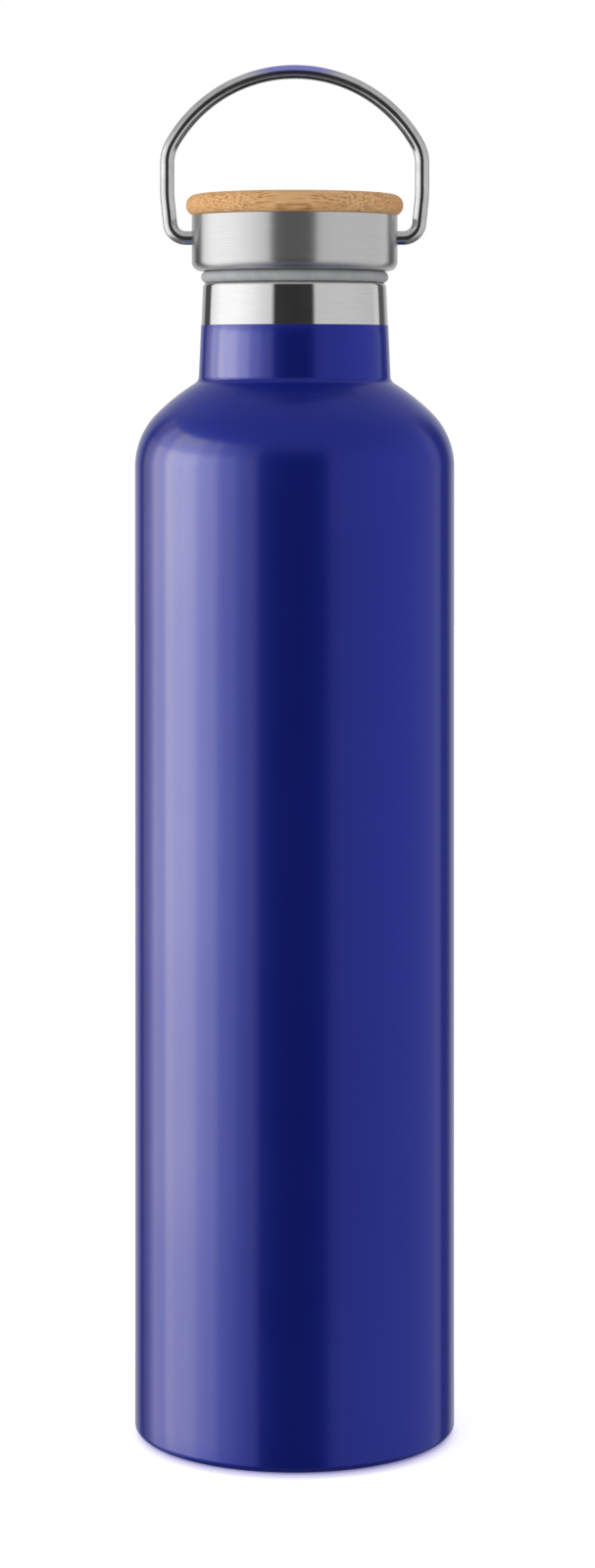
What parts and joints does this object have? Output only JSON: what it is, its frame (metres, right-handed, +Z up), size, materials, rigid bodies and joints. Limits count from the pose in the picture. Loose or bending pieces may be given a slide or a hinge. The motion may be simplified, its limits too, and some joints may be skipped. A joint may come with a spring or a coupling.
{
  "type": "water bottle",
  "caption": "Tall vacuum-insulated steel drinking bottle with a screw-in plug lid, bamboo top disc and swinging wire carry handle.",
  "frame": {"origin": "centre of the ring the bottle stands on", "axes": "+Z up along the bottle's axis; +X along the handle's pivot line, towards the right-hand leg"},
  "size_m": [0.08, 0.08, 0.3417],
  "materials": {
    "blue_paint": "satin",
    "bare_steel": "satin",
    "dull_metal": "matte",
    "inner_steel": "electropolished",
    "silicone": "matte",
    "white_plastic": "moulded",
    "foam": "foam",
    "brushed_steel": "brushed around the lid",
    "black_plastic": "moulded",
    "screw_steel": "zinc plated",
    "adhesive": "foam tape",
    "bamboo": "sanded, lightly oiled",
    "wire_steel": "polished wire"
  },
  "bodies": {
    "bottle": {"outer_shell": "blue_paint", "outer_base": "bare_steel", "base_cover": "bare_steel", "vacuum_seal": "dull_metal", "getter": "dull_metal", "inner_vessel": "inner_steel", "inner_base": "inner_steel"},
    "seal_ring": {"gasket": "silicone"},
    "lid": {"plug": "white_plastic", "plug_insulation": "foam", "lid_shell": "brushed_steel", "lid_core": "black_plastic", "core_screws": "screw_steel", "disc_adhesive": "adhesive", "lid_disc": "bamboo"},
    "handle": {"handle": "wire_steel"}
  },
  "joints": [
    {"name": "lid_rise", "type": "slide", "parent": "bottle", "child": "seal_ring", "axis": [0, 0, 1], "range_m": [0, 0.0175]},
    {"name": "lid_turn", "type": "hinge", "parent": "seal_ring", "child": "lid", "pos_m": [0, 0, 0.287], "axis": [0, 0, 1], "range_deg": [0, 900]},
    {"name": "handle_swing", "type": "hinge", "parent": "lid", "child": "handle", "pos_m": [0, 0, 0.2983], "axis": [1, 0, 0], "range_deg": [-140, 140]}
  ],
  "couplings": [
    {"joint": "lid_rise", "follows": "lid_turn", "m_per_rad": 0.0011141}
  ]
}
